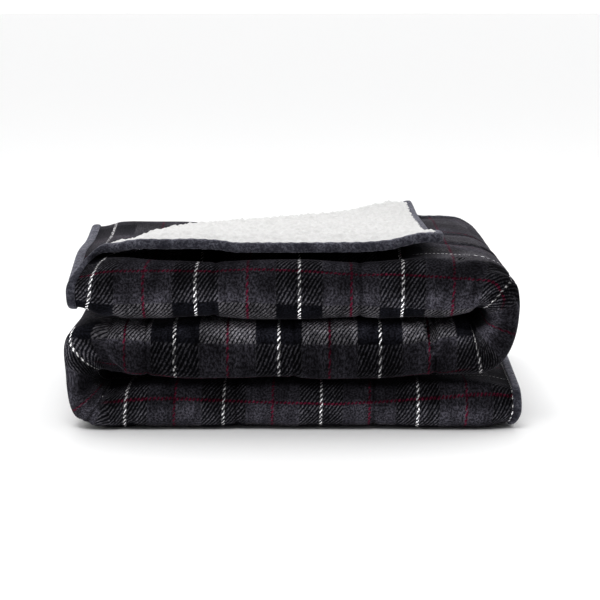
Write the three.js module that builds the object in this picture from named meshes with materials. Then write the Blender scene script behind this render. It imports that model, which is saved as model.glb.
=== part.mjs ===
// A weighted throw blanket, folded for the shelf: in thirds across its width, then in thirds along its
// length, with one corner of the top layer turned over so that the fleece side shows.
//
// Every piece is laid out flat on the cut pattern first. A point of the pattern is (s, t, n):
//   s along the length, from the end that finishes on top,
//   t across the width, from the long edge that is folded in first,
//   n through the cloth, positive towards the plush face.
// The fold map then carries the point to its place in the stack, so the pieces stay matched to each other.
// Millimetres, +X right, -Y front, +Z up, and the underside lies on z = 0.
import * as THREE from "three";

// Driving sizes of the flat blanket
const LENGTH = 1524;
const WIDTH = 1270;
const BINDING = { width: 10, half: 4.5, edgeHalf: 2.8, wall: 1.2, web: 2.3, swell: 26 };
const SEAM_GAP = 0.3; // between two pieces that are sewn face to face
const LAYER_GAP = 1.4; // between two thicknesses of the folded cloth
const QUILT = { pitchS: 152.4, pitchT: 158.75, depth: 2.4 };

// First fold, in thirds across the width: how much of t each run and bend takes
const INNER_RUN = 358;
const INNER_EDGE = 2; // from the middle of the nose to the long edge inside it
const BACK_BEND = 35;
const LOWER_RUN = 392;
const NOSE_BEND = 69;
const UPPER_RUN = WIDTH - INNER_RUN - BACK_BEND - LOWER_RUN - NOSE_BEND;
const DEPTH = 446; // front to back of the folded strip
const NOSE_START = INNER_RUN + BACK_BEND + LOWER_RUN;
const CREST = NOSE_START + NOSE_BEND; // where the upper run begins, along the front top edge

// Second fold, in thirds along the length: each run and bend of the strip, from the top layer down
const BEND = {
  right: { x: 201, square: 0.85, lean: 7 },
  left: { x: -193, square: 0.6, lean: 6 },
}; // square below 1 makes a bend fuller than a half circle, and lean moves its fullest part up
const END_X = { top: -236.5, bottom: 256 };
const STACK_MIDDLE = { x: 7.85, y: 4 }; // of the whole stack, brought to the origin
const MIDDLE_HEIGHT = 85.5;
const TOP_HEIGHT = 154.5;
const STRIP = [
  { part: "top", cloth: 436 },
  { part: "rightBend", cloth: 114 },
  { part: "middle", cloth: 405 },
  { part: "leftBend", cloth: 102 },
  { part: "bottom", cloth: 467 },
];
let clothUsed = 0;
for (const row of STRIP) {
  row.start = clothUsed;
  clothUsed += row.cloth;
  row.end = clothUsed;
}
const [TOP, RIGHT_BEND, MIDDLE, LEFT_BEND, BOTTOM] = STRIP;

// Thickness of the three-layer strip, how far its nose sits back from the front, and its lift, along s
const SHAPE = [
  { at: 0, thick: 64, setBack: 7, lift: 2.5 },
  { at: 75, thick: 70, setBack: 1, lift: 1 },
  { at: 200, thick: 72, setBack: 0, lift: 0 },
  { at: 330, thick: 71, setBack: 2, lift: 0 },
  { at: TOP.end, thick: 61, setBack: 4, lift: 2 },
  { at: TOP.end + RIGHT_BEND.cloth / 2, thick: 33, setBack: 13, lift: 0 },
  { at: RIGHT_BEND.end, thick: 57, setBack: 8, lift: 0 },
  { at: RIGHT_BEND.end + 90, thick: 66, setBack: 5, lift: 0 },
  { at: MIDDLE.end - 90, thick: 65, setBack: 6, lift: 0 },
  { at: MIDDLE.end, thick: 61, setBack: 7, lift: 0 },
  { at: MIDDLE.end + LEFT_BEND.cloth / 2, thick: 33, setBack: 10, lift: 0 },
  { at: LEFT_BEND.end, thick: 51, setBack: 5, lift: 0 },
  { at: LEFT_BEND.end + 80, thick: 53, setBack: 9, lift: 0 },
  { at: LENGTH - 60, thick: 53, setBack: 8, lift: 0 },
  { at: LENGTH, thick: 50, setBack: 11, lift: 0 },
];

// The two ends are domed: drawn in by this much at the top and the bottom of the strip's nose. The layers
// up to the given level are skewed as well, outwards towards the back.
const DOME = {
  top: { above: 14, below: 1, reach: 260, skew: 22, skewUpTo: 0.5 },
  bottom: { above: 1, below: 6, reach: 120, skew: 18, skewUpTo: 2 },
};

// The top layer sinks at its upper face, most at y and over this reach, and not near the right bend
const SINK = { depth: 10, y: 105, reachY: 150, fadeS: 120 };

// The layer laid bare by the turned corner stands this much higher, at this distance from the fold
const PUFF = { height: 12, reach: 110 };

// The corner turned over: the fold runs from the crest at the end to the far long edge
const TURN = {
  alongS: 414,
  tightRadius: 9.5,
  looseRadius: 11,
  neutral: 3, // the cloth's length is kept this far inside its middle, as its outer side stretches
  half: 7.5, // half the cloth's thickness where it is turned over
  thinning: 60, // how far before the fold the cloth starts to thin to that
  restWidth: 90, // how far in from its edges the turned corner sinks to rest on the layer below
  cornerLift: 6, // how far the very corner stands up, and within what distance
  cornerReach: 90,
  resting: 0.95, // the share of the room under its edges that it sinks
  steps: 6,
};

const clamp = (v, low, high) => Math.min(high, Math.max(low, v));
const mix = (a, b, f) => a + (b - a) * f;
const ease = (f) => {
  const c = clamp(f, 0, 1);
  return c * c * (3 - 2 * c);
};

// One column of the shape table at s, eased from row to row
function shapeAt(s, column) {
  let i = 0;
  while (i < SHAPE.length - 2 && s > SHAPE[i + 1].at) i += 1;
  const a = SHAPE[i];
  const b = SHAPE[i + 1];
  return mix(a[column], b[column], ease((s - a.at) / (b.at - a.at)));
}

// Height of the strip's middle where it lies in the top, middle or bottom layer
function layerHeight(s) {
  if (s <= TOP.end) return TOP_HEIGHT + shapeAt(s, "lift");
  if (s >= BOTTOM.start) return (shapeAt(s, "thick") - LAYER_GAP) / 2;
  return MIDDLE_HEIGHT;
}

// A point in the bend between the middle layer and one at the given height, turned by an angle from that
// layer. The bend's inner face is a half circle, and its outer face is fuller than that.
function bentPoint(bend, height, angle, offset, thick) {
  const outward = Math.sign(height - MIDDLE_HEIGHT);
  const radius = Math.abs(height - MIDDLE_HEIGHT) / 2;
  const share = 0.5 + (outward * offset) / thick; // 0 at the inner face, 1 at the outer face
  const fuller = (v) => Math.sign(v) * Math.pow(Math.abs(v), bend.square);
  const reach = (v) => outward * mix((radius - thick / 2) * v, (radius + thick / 2) * fuller(v), share);
  const side = Math.sin(angle);
  const up = Math.cos(angle);
  return { x: bend.x + reach(side) + bend.lean * side * up, z: (height + MIDDLE_HEIGHT) / 2 + reach(up) };
}

// Second fold: where the strip carries a point that lies at an offset above its middle, in X and Z
function stripPoint(s, offset, thick) {
  if (s < RIGHT_BEND.start) {
    return { x: mix(END_X.top, BEND.right.x, s / TOP.cloth), z: layerHeight(s) + offset };
  }
  if (s < MIDDLE.start) {
    const down = ((s - RIGHT_BEND.start) / RIGHT_BEND.cloth) * Math.PI;
    return bentPoint(BEND.right, layerHeight(TOP.end), down, offset, thick);
  }
  if (s < LEFT_BEND.start) {
    const f = (s - MIDDLE.start) / MIDDLE.cloth;
    return { x: mix(BEND.right.x, BEND.left.x, f), z: MIDDLE_HEIGHT - offset };
  }
  if (s < BOTTOM.start) {
    const up = ((BOTTOM.start - s) / LEFT_BEND.cloth) * Math.PI;
    return bentPoint(BEND.left, layerHeight(BOTTOM.start), up, offset, thick);
  }
  return { x: mix(BEND.left.x, END_X.bottom, (s - BOTTOM.start) / BOTTOM.cloth), z: layerHeight(s) + offset };
}

// First fold: the middle of the cloth at t in the strip's own section, y to the back and c upwards,
// with the direction (ny, nc) in which the plush face looks
function sectionAt(t, thick, setBack) {
  const pitch = thick / 3;
  const reach = (thick - LAYER_GAP) / 2; // from the strip's middle to its outer face
  const front = -DEPTH / 2 + setBack + reach;
  const back = DEPTH / 2 - pitch + LAYER_GAP / 2;
  if (t < INNER_RUN) {
    return { y: mix(front + INNER_EDGE, back, t / INNER_RUN), c: 0, ny: 0, nc: 1 };
  }
  if (t < INNER_RUN + BACK_BEND) {
    const turn = ((t - INNER_RUN) / BACK_BEND) * Math.PI;
    return {
      y: back + (pitch / 2) * Math.sin(turn),
      c: (pitch / 2) * (Math.cos(turn) - 1),
      ny: Math.sin(turn),
      nc: Math.cos(turn),
    };
  }
  if (t < NOSE_START) {
    const f = (t - INNER_RUN - BACK_BEND) / LOWER_RUN;
    return { y: mix(back, front, f), c: -pitch, ny: 0, nc: -1 };
  }
  if (t < CREST) {
    const turn = ((t - NOSE_START) / NOSE_BEND) * Math.PI;
    return {
      y: front - pitch * Math.sin(turn),
      c: -pitch * Math.cos(turn),
      ny: -Math.sin(turn),
      nc: -Math.cos(turn),
    };
  }
  return { y: front + (t - CREST), c: pitch, ny: 0, nc: 1 };
}

// How far the end of the strip is drawn in along X: most at the upper side, fading along the strip
function endShift(s, section, pitch) {
  const fromTop = s < LENGTH / 2;
  const dome = fromTop ? DOME.top : DOME.bottom;
  const fade = Math.pow(clamp(1 - (fromTop ? s : LENGTH - s) / dome.reach, 0, 1), 2);
  const level = clamp(section.c / pitch, -1, 1);
  const towardsBack = (section.y + DEPTH / 2) / DEPTH;
  const drawnIn = (level > 0 ? dome.above : dome.below * (1 - towardsBack)) * level * level;
  const skewed = level > dome.skewUpTo ? 0 : dome.skew * towardsBack;
  return (fromTop ? 1 : -1) * (drawnIn - skewed) * fade;
}

// How far the top layer's upper face has sunk at s and y
function sinkAt(s, y) {
  return SINK.depth * ease(1 - Math.abs(y - SINK.y) / SINK.reachY) * ease((TOP.end - s) / SINK.fadeS);
}

// How far the inner third has risen at s and y, where the corner turned over has laid it bare
function puffAt(s, t, y) {
  if (t > INNER_RUN + BACK_BEND) return 0;
  const share = 1 - ease((t - INNER_RUN) / BACK_BEND);
  return share * PUFF.height * ease(turnPlace(s, CREST + y + DEPTH / 2 - NOSE_ROOM).d / PUFF.reach);
}

// Both folds together, without the turned corner
function foldedPoint(s, t, n) {
  const thick = shapeAt(s, "thick");
  const section = sectionAt(t, thick, shapeAt(s, "setBack"));
  const offset = section.c + n * section.nc;
  const strip = stripPoint(s, offset, thick);
  const sunk = (sinkAt(s, section.y) * (1 + (2 * offset) / thick)) / 2;
  return new THREE.Vector3(
    strip.x + endShift(s, section, thick / 3),
    section.y + n * section.ny,
    strip.z - sunk + puffAt(s, t, section.y),
  );
}

// The turned corner's own flat directions: e along the fold, d away from it towards the corner
const NOSE_ROOM = 35; // from the front to the crest
const TURN_LENGTH = Math.hypot(TURN.alongS, UPPER_RUN);
function turnPlace(s, t) {
  const across = t - CREST;
  return {
    e: (s * TURN.alongS + across * UPPER_RUN) / TURN_LENGTH,
    d: (across * TURN.alongS - s * UPPER_RUN) / TURN_LENGTH,
  };
}
const turnRadius = (e) => mix(TURN.tightRadius, TURN.looseRadius, clamp(e / TURN_LENGTH, 0, 1));
const foldFoot = (e) => {
  const share = e / TURN_LENGTH;
  return foldedPoint(share * TURN.alongS, CREST + share * UPPER_RUN, 0);
};
const FOLD_LINE = foldFoot(TURN_LENGTH).sub(foldFoot(0));
const PAST_FOLD = new THREE.Vector3(-FOLD_LINE.y, FOLD_LINE.x, 0).normalize();

// How far a point of the pattern lies inside the blanket's edge
const insideEdge = (s, t) => Math.min(s, LENGTH - s, t, WIDTH - t);

// A point of the corner that is turned over: round the loose fold, then flat on the layer below
function turnedPoint(s, t, n) {
  const { e, d } = turnPlace(s, t);
  const radius = turnRadius(e);
  const foot = foldFoot(e);
  const turn = Math.min(d / (radius - TURN.neutral), Math.PI);
  const beyond = Math.max(0, d - Math.PI * (radius - TURN.neutral));
  const away = (radius - n) * Math.sin(turn) - beyond;
  const room = 2 * radius - BINDING.half - (shapeAt(s, "thick") - LAYER_GAP) / 6 - LAYER_GAP;
  const resting = ease(1 - insideEdge(s, t) / TURN.restWidth) * ease(beyond / TURN.restWidth);
  const lifted = TURN.cornerLift * ease(1 - Math.hypot(s, WIDTH - t) / TURN.cornerReach);
  const rise = radius - (radius - n) * Math.cos(turn) - TURN.resting * room * resting + lifted;
  const point = foot.clone().addScaledVector(PAST_FOLD, away);
  const sunk = sinkAt(foot.x - END_X.top, foot.y) - sinkAt(point.x - END_X.top, point.y);
  return point.setZ(foot.z + rise + (sunk * 5) / 6);
}

function place(s, t, n) {
  const turned = s < TURN.alongS && t > CREST && turnPlace(s, t).d > 0;
  const point = turned ? turnedPoint(s, t, n) : foldedPoint(s, t, n);
  point.x -= STACK_MIDDLE.x;
  point.y -= STACK_MIDDLE.y;
  if (Math.abs(point.z) < 1e-3) point.z = 0;
  return point;
}

// Half the cloth's thickness at a point of the pattern: thin in the binding, full inside it, with soft
// valleys along the quilting lines
function halfThickness(s, t, face) {
  const inside = insideEdge(s, t);
  const slot = BINDING.half - BINDING.wall - SEAM_GAP;
  const { d } = turnPlace(s, t);
  const nearTurn = s < TURN.alongS + TURN.thinning && t > CREST ? ease(1 + d / TURN.thinning) : 0;
  const full = mix(shapeAt(s, "thick") / 6 - LAYER_GAP / 2, TURN.half, nearTurn);
  const liesFlat = s > LEFT_BEND.end - 1 && t > INNER_RUN && t < NOSE_START + 1 && face > 0;
  const fromLine = (v, pitch) => Math.abs(v - Math.round(v / pitch) * pitch) / pitch;
  const nearest = Math.min(fromLine(s, QUILT.pitchS), t > CREST ? fromLine(t - CREST, QUILT.pitchT) : 1);
  const valley = liesFlat || full < 8 ? 0 : QUILT.depth * (1 - ease(nearest * 3));
  const swell = ease((inside - BINDING.width - SEAM_GAP) / BINDING.swell);
  return Math.min(full, mix(slot, full - valley, swell));
}

// Places between two values of the flat pattern, ends included, about one step apart
function stations(from, to, step) {
  const count = Math.max(1, Math.round((to - from) / step));
  return Array.from({ length: count + 1 }, (_, i) => mix(from, to, i / count));
}
const unique = (list) => [...new Set(list.map((v) => Math.round(v * 1000) / 1000))].sort((a, b) => a - b);

// The lines of the grid: on and between the quilting lines, close together round the bends, and where
// the cloth has swollen to its full thickness beside the binding
const RUN_STEP = QUILT.pitchS / 2;
const HIDDEN_STEP = 110;
const SWOLLEN = BINDING.width + BINDING.swell;
const quiltStations = (from, to) =>
  stations(0, LENGTH, RUN_STEP).filter((v) => v > from + RUN_STEP / 4 && v < to - RUN_STEP / 4);
const INNER_S = unique([
  SWOLLEN,
  ...quiltStations(SWOLLEN, TOP.end),
  ...stations(RIGHT_BEND.start, RIGHT_BEND.end, RIGHT_BEND.cloth / 6),
  ...quiltStations(MIDDLE.start, MIDDLE.end),
  ...stations(LEFT_BEND.start, LEFT_BEND.end, LEFT_BEND.cloth / 6),
  ...quiltStations(BOTTOM.start, LENGTH - SWOLLEN),
  LENGTH - SWOLLEN,
]);
const INNER_T = unique([
  ...stations(SWOLLEN, INNER_RUN, HIDDEN_STEP),
  ...stations(INNER_RUN, INNER_RUN + BACK_BEND, BACK_BEND / 5),
  ...stations(INNER_RUN + BACK_BEND, NOSE_START, HIDDEN_STEP),
  ...stations(NOSE_START, CREST, NOSE_BEND / 6),
  ...stations(CREST, CREST + 2 * QUILT.pitchT, QUILT.pitchT / 2),
  WIDTH - SWOLLEN,
]);

// The cells of a grid with these lines, each a list of corner points [s, t] turning anticlockwise
function gridCells(sLines, tLines, keep) {
  const cells = [];
  for (let i = 0; i + 1 < sLines.length; i += 1) {
    for (let j = 0; j + 1 < tLines.length; j += 1) {
      const [s0, s1, t0, t1] = [sLines[i], sLines[i + 1], tLines[j], tLines[j + 1]];
      if (keep((s0 + s1) / 2, (t0 + t1) / 2)) {
        cells.push([
          [s0, t0],
          [s1, t0],
          [s1, t1],
          [s0, t1],
        ]);
      }
    }
  }
  return cells;
}

// Cuts every cell along one line, where side(s, t) changes sign; a corner within ON_LINE counts as on it
const ON_LINE = 0.4;
function cutCells(cells, side) {
  return cells.flatMap((cell) => {
    const sides = cell.map(([s, t]) => {
      const v = side(s, t);
      return Math.abs(v) < ON_LINE ? 0 : v;
    });
    if (Math.max(...sides) <= 0 || Math.min(...sides) >= 0) return [cell];
    const halves = [[], []];
    cell.forEach((corner, i) => {
      const next = (i + 1) % cell.length;
      if (sides[i] >= 0) halves[0].push(corner);
      if (sides[i] <= 0) halves[1].push(corner);
      if (sides[i] * sides[next] < 0) {
        const f = sides[i] / (sides[i] - sides[next]);
        const cut = [0, 1].map((k) => Math.round(mix(corner[k], cell[next][k], f) * 1e5) / 1e5);
        halves[0].push(cut);
        halves[1].push(cut);
      }
    });
    return halves;
  });
}

// The fold's start and its steps round the bend, as cuts through every pattern
function withTurnLines(cells) {
  let cut = cells;
  for (let step = 0; step <= TURN.steps; step += 1) {
    const turn = (step / TURN.steps) * Math.PI;
    cut = cutCells(cut, (s, t) => {
      const { e, d } = turnPlace(s, t);
      return d - turn * (turnRadius(e) - TURN.neutral);
    });
  }
  return cut;
}

// Triangles collected from patterns laid at an offset n(s, t), and walls between two offsets
class Piece {
  constructor() {
    this.points = [];
  }

  triangle(a, b, c) {
    this.points.push(...place(...a).toArray(), ...place(...b).toArray(), ...place(...c).toArray());
  }

  // One face of the cloth; up is true where the face looks the way the plush does
  face(cells, offset, up) {
    for (const cell of cells) {
      const at = cell.map(([s, t]) => [s, t, offset(s, t)]);
      for (let i = 1; i + 1 < at.length; i += 1) {
        if (up) this.triangle(at[0], at[i], at[i + 1]);
        else this.triangle(at[0], at[i + 1], at[i]);
      }
    }
  }

  // The wall round a pattern's outline, where keep(s, t) holds, from a lower offset to an upper one
  wall(cells, lower, upper, keep = () => true) {
    const key = (p) => p.join();
    const edges = new Map();
    for (const cell of cells) {
      cell.forEach((p, i) => {
        const q = cell[(i + 1) % cell.length];
        edges.set(key(p) + ">" + key(q), [p, q]);
      });
    }
    for (const [p, q] of edges.values()) {
      if (edges.has(key(q) + ">" + key(p)) || !keep((p[0] + q[0]) / 2, (p[1] + q[1]) / 2)) continue;
      const [pl, ql, pu, qu] = [lower(...p), lower(...q), upper(...p), upper(...q)];
      this.triangle([...p, pl], [...q, ql], [...q, qu]);
      this.triangle([...p, pl], [...q, qu], [...p, pu]);
    }
  }

  mesh(name, material) {
    const geometry = new THREE.BufferGeometry();
    geometry.setAttribute("position", new THREE.Float32BufferAttribute(this.points, 3));
    geometry.computeVertexNormals();
    const made = new THREE.Mesh(geometry, material);
    made.name = name;
    return made;
  }
}

// A panel reaches into the binding up to its web, and meets the other panel across the seam gap
const PANEL_EDGE = BINDING.web + 3 * SEAM_GAP;
const PANEL_SHOULDER = BINDING.width + 2 * SEAM_GAP;
const framed = (inner, size, outside) => [
  ...outside,
  ...inner,
  ...[...outside].reverse().map((v) => size - v),
];
const PANEL_FRAME = [PANEL_EDGE, PANEL_SHOULDER];
const PANEL_CELLS = withTurnLines(
  gridCells(framed(INNER_S, LENGTH, PANEL_FRAME), framed(INNER_T, WIDTH, PANEL_FRAME), () => true),
);

function panel(name, face, material) {
  const outer = (s, t) => face * halfThickness(s, t, face);
  const inner = () => (face * SEAM_GAP) / 2;
  const piece = new Piece();
  piece.face(PANEL_CELLS, face > 0 ? outer : inner, true);
  piece.face(PANEL_CELLS, face > 0 ? inner : outer, false);
  piece.wall(PANEL_CELLS, face > 0 ? inner : outer, face > 0 ? outer : inner);
  return piece.mesh(name, material);
}

// The binding is one strip folded round the edge: two flanges joined by a web, open towards the panels
function binding(name, material) {
  const frame = [0, BINDING.web, BINDING.width];
  const sLines = framed(INNER_S, LENGTH, frame);
  const tLines = framed(INNER_T, WIDTH, frame);
  const strip = withTurnLines(gridCells(sLines, tLines, (s, t) => insideEdge(s, t) < BINDING.width));
  const flange = withTurnLines(
    gridCells(sLines, tLines, (s, t) => insideEdge(s, t) < BINDING.width && insideEdge(s, t) > BINDING.web),
  );
  const outside = (s, t) => (insideEdge(s, t) < BINDING.web / 2 ? BINDING.edgeHalf : BINDING.half);
  const slot = () => BINDING.half - BINDING.wall;
  const negative = (f) => (s, t) => -f(s, t);
  const atWeb = (s, t) => insideEdge(s, t) < BINDING.width / 2;
  const piece = new Piece();
  piece.face(strip, outside, true);
  piece.face(flange, slot, false);
  piece.face(flange, negative(slot), true);
  piece.face(strip, negative(outside), false);
  piece.wall(strip, negative(outside), outside, atWeb);
  piece.wall(flange, slot, outside, (s, t) => !atWeb(s, t));
  piece.wall(flange, negative(outside), negative(slot), (s, t) => !atWeb(s, t));
  piece.wall(flange, slot, negative(slot), atWeb);
  return piece.mesh(name, material);
}

const cloth = (name, color, roughness) =>
  new THREE.MeshStandardMaterial({ name, color, roughness, metalness: 0 });

const blanket = new THREE.Group();
blanket.add(panel("plush_face", 1, cloth("plush", 0x2b2a2f, 0.95)));
blanket.add(panel("fleece_back", -1, cloth("fleece", 0xeeeae4, 1)));
blanket.add(binding("edge_binding", cloth("binding", 0x33323a, 0.85)));

export default blanket;
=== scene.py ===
# %% [markdown]
# # A weighted blanket, folded for the shelf
# The packed model holds the blanket's three pieces as plain solids: a plush panel, a fleece panel and the
# strip that binds their edge. We load it first, because everything made here has to lie on those solids.

import bpy
import numpy as np
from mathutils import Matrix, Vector


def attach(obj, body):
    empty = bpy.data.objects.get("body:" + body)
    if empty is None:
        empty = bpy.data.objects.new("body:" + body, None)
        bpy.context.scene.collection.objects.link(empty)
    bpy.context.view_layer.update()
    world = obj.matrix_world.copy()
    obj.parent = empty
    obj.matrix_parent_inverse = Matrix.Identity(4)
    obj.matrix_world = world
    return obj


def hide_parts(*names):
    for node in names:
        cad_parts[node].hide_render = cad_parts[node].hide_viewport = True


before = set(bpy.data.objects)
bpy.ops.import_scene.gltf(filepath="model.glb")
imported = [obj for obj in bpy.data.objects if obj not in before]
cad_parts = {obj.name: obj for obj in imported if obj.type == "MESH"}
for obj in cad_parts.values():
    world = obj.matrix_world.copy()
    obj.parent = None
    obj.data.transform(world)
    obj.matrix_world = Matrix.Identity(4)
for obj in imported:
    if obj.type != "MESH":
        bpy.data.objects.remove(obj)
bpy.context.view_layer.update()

# %% [markdown]
# ## The flat blanket
# A maker cuts both panels to one size and lays them together, so that is where we start. Every point of
# the cloth has three flat numbers: `s` along the length, `t` across the width, and `n` through the
# thickness, positive on the plush side. They are in millimetres; the finished meshes are in metres.

# %% Sizes of the flat blanket
MM = 0.001
LENGTH, WIDTH = 1524.0, 1270.0
BIND_WIDTH, BIND_HALF, BIND_CLOTH = 10.0, 4.5, 1.5
LAYER_GAP = 1.4
print(f"flat cut {LENGTH * MM:.3f} x {WIDTH * MM:.2f} m")

# %% [markdown]
# ## Two folds
# The blanket is folded in thirds across its width, which gives a strip with a round nose at the front, and
# the strip is folded in thirds along its length. Each fold is a row of straight runs and bends, and each
# run or bend takes a known length of cloth. A simulation could fold the cloth as well, but it would never
# come to rest in this exact stack, so the folds are a map from the flat cloth to the stack.

# %% Lengths of cloth in each run and bend
INNER_RUN, BACK_BEND, LOWER_RUN, NOSE_BEND = 358.0, 35.0, 392.0, 69.0
NOSE_START = INNER_RUN + BACK_BEND + LOWER_RUN
CREST = NOSE_START + NOSE_BEND
UPPER_RUN = WIDTH - CREST
TOP_END, RIGHT_END, MIDDLE_END, LEFT_END = 436.0, 550.0, 955.0, 1057.0
print("cloth in the three layers, mm:", TOP_END, MIDDLE_END - RIGHT_END, LENGTH - LEFT_END)

# %% [markdown]
# ## Two helpers
# Nearly every shape below is a blend of two others. `mix` goes from one value to another, and `ease` turns
# a straight ramp into one that starts and stops softly, as cloth does.

# %% Mix and ease
def mix(a, b, share):
    return a + (b - a) * share


def ease(share):
    share = np.clip(share, 0, 1)
    return share * share * (3 - 2 * share)


print("a quarter, eased:", ease(0.25))

# %% [markdown]
# ## How the strip changes along its length
# The strip is thick where it lies loose on top and thin where it is pulled round a bend, and its nose sits
# further back there. A short table holds that, one row for each place, and the values between are eased
# so that no row shows as a kink.

# %% The strip's thickness, set-back and lift
SHAPE = np.array([
    # at, thick, set back, lift
    [0, 64, 7, 2.5],
    [75, 70, 1, 1],
    [200, 72, 0, 0],
    [330, 71, 2, 0],
    [TOP_END, 61, 4, 2],
    [(TOP_END + RIGHT_END) / 2, 33, 13, 0],
    [RIGHT_END, 57, 8, 0],
    [RIGHT_END + 90, 66, 5, 0],
    [MIDDLE_END - 90, 65, 6, 0],
    [MIDDLE_END, 61, 7, 0],
    [(MIDDLE_END + LEFT_END) / 2, 33, 10, 0],
    [LEFT_END, 51, 5, 0],
    [LEFT_END + 80, 53, 9, 0],
    [LENGTH - 60, 53, 8, 0],
    [LENGTH, 50, 11, 0],
])
THICK, SET_BACK, LIFT = 1, 2, 3


def shape_at(s, column):
    at = SHAPE[:, 0]
    i = np.clip(np.searchsorted(at, s) - 1, 0, len(at) - 2)
    share = ease((s - at[i]) / (at[i + 1] - at[i]))
    return mix(SHAPE[i, column], SHAPE[i + 1, column], share)


print("strip is", SHAPE[:, THICK].min(), "to", SHAPE[:, THICK].max(), "mm thick")

# %% [markdown]
# ## The strip's path
# Seen from the front, the strip runs right along the top layer, down round the right bend, left through the
# middle layer, down round the left bend and right again along the bottom. `angle` is how far the strip's
# upper side has turned over: none in the top and bottom layers, half a turn in the middle one. A plain half
# circle would look like a pipe, so each bend is fuller outside and leans a little.

# %% Second fold: the path of the strip
BEND_S = [0, TOP_END, RIGHT_END, MIDDLE_END, LEFT_END, LENGTH]
BEND_X = [-236.5, 201.0, 201.0, -193.0, -193.0, 256.0]
BEND_ANGLE = [0, 0, np.pi, np.pi, 0, 0]
MIDDLE_HEIGHT, TOP_HEIGHT = 85.5, 154.5
FULLER, LEAN = (0.85, 0.6), (7.0, 6.0)  # right bend, left bend


def strip_point(s, offset, thick):
    """The x and z of a point that lies `offset` above the middle of the strip."""
    angle = np.interp(s, BEND_S, BEND_ANGLE)
    side, up = np.maximum(np.sin(angle), 0), np.cos(angle)
    right = s < (RIGHT_END + MIDDLE_END) / 2
    top = TOP_HEIGHT + shape_at(np.minimum(s, TOP_END), LIFT)
    bottom = (shape_at(np.maximum(s, LEFT_END), THICK) - LAYER_GAP) / 2
    height = np.where(right, top, bottom)
    outward = np.where(right, 1, -1)
    radius = np.abs(height - MIDDLE_HEIGHT) / 2
    share = 0.5 + outward * offset / thick
    fuller, lean = np.where(right, *FULLER), np.where(right, *LEAN)

    def reach(v):
        outside = np.sign(v) * np.abs(v) ** fuller
        return outward * mix((radius - thick / 2) * v, (radius + thick / 2) * outside, share)

    x = np.interp(s, BEND_S, BEND_X) + reach(side) + lean * side * up
    return x, (height + MIDDLE_HEIGHT) / 2 + reach(up)


print("middle and top layer at z =", MIDDLE_HEIGHT, TOP_HEIGHT, "mm")

# %% [markdown]
# ## The strip's section
# Cut across, the strip is a flat spiral: the inner third, a tight bend at the back, the lower third, the
# round nose at the front, and the upper third on top of everything. `y` runs to the back and `c` upwards
# from the strip's middle, and the last two numbers say which way the plush face looks.

# %% First fold: the section of the strip
DEPTH = 446.0
INNER_EDGE = 2.0


def section_at(t, thick, set_back):
    pitch = thick / 3
    front = -DEPTH / 2 + set_back + (thick - LAYER_GAP) / 2
    back = DEPTH / 2 - pitch + LAYER_GAP / 2
    back_turn = np.pi * (t - INNER_RUN) / BACK_BEND
    nose_turn = np.pi * (t - NOSE_START) / NOSE_BEND
    parts = [t < INNER_RUN, t < INNER_RUN + BACK_BEND, t < NOSE_START, t < CREST]
    zero, one = np.zeros_like(t), np.ones_like(t)
    y = np.select(parts, [
        mix(front + INNER_EDGE, back, t / INNER_RUN),
        back + pitch / 2 * np.sin(back_turn),
        mix(back, front, (t - INNER_RUN - BACK_BEND) / LOWER_RUN),
        front - pitch * np.sin(nose_turn),
    ], front + t - CREST)
    back_c, nose_c = pitch / 2 * (np.cos(back_turn) - 1), -pitch * np.cos(nose_turn)
    c = np.select(parts, [zero, back_c, -pitch, nose_c], pitch)
    ny = np.select(parts, [zero, np.sin(back_turn), zero, -np.sin(nose_turn)], zero)
    nc = np.select(parts, [one, np.cos(back_turn), -one, -np.cos(nose_turn)], one)
    return y, c, ny, nc


print("the strip is", DEPTH, "mm deep")

# %% [markdown]
# ## The bound ends
# The two bound ends do not stand square: the pull of the nose draws them in at the top and the bottom, and
# their back is drawn out. That is a shift along X which fades out along the strip. `shoulder` says how
# suddenly it starts where the cloth comes over the nose.

# %% Draw the two ends in
END_TOP = {"above": 14, "below": 1, "shoulder": 4, "reach": 260, "skew": 22, "skew_up_to": 0.5}
END_BOTTOM = {"above": 1, "below": 6, "shoulder": 2, "reach": 120, "skew": 18, "skew_up_to": 2}


def end_shift(s, y, c, pitch):
    level = np.clip(c / pitch, -1, 1)
    to_back = (y + DEPTH / 2) / DEPTH

    def shift(end, from_end, sign):
        fade = np.clip(1 - from_end / end["reach"], 0, 1) ** 2
        drawn = np.where(level > 0, end["above"], end["below"] * (1 - to_back))
        drawn = drawn * np.abs(level) ** end["shoulder"]
        skewed = np.where(level > end["skew_up_to"], 0, end["skew"] * to_back)
        return sign * (drawn - skewed) * fade

    return np.where(s < LENGTH / 2, shift(END_TOP, s, 1), shift(END_BOTTOM, LENGTH - s, -1))


print("top end drawn in by", END_TOP["above"], "mm")

# %% [markdown]
# ## Where the corner turns
# The corner of the top layer is laid back over itself, along a straight fold from the front of the bound
# end to the back. In flat numbers `e` runs along that fold and `d` away from it, to the corner.

# %% Places beside the corner's fold
TURN_ALONG = 414.0
TURN_LENGTH = float(np.hypot(TURN_ALONG, UPPER_RUN))


def turn_place(s, t):
    across = t - CREST
    e = (s * TURN_ALONG + across * UPPER_RUN) / TURN_LENGTH
    d = (across * TURN_ALONG - s * UPPER_RUN) / TURN_LENGTH
    return e, d


print(f"the corner's fold is {TURN_LENGTH:.0f} mm long")

# %% [markdown]
# ## Sunk, pressed and risen places
# The top layer sinks in its middle, is pressed into a valley behind the nose where the turned corner lies
# over it, and rises where that corner has laid the inner third bare. Each is a soft bump with its place.

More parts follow.
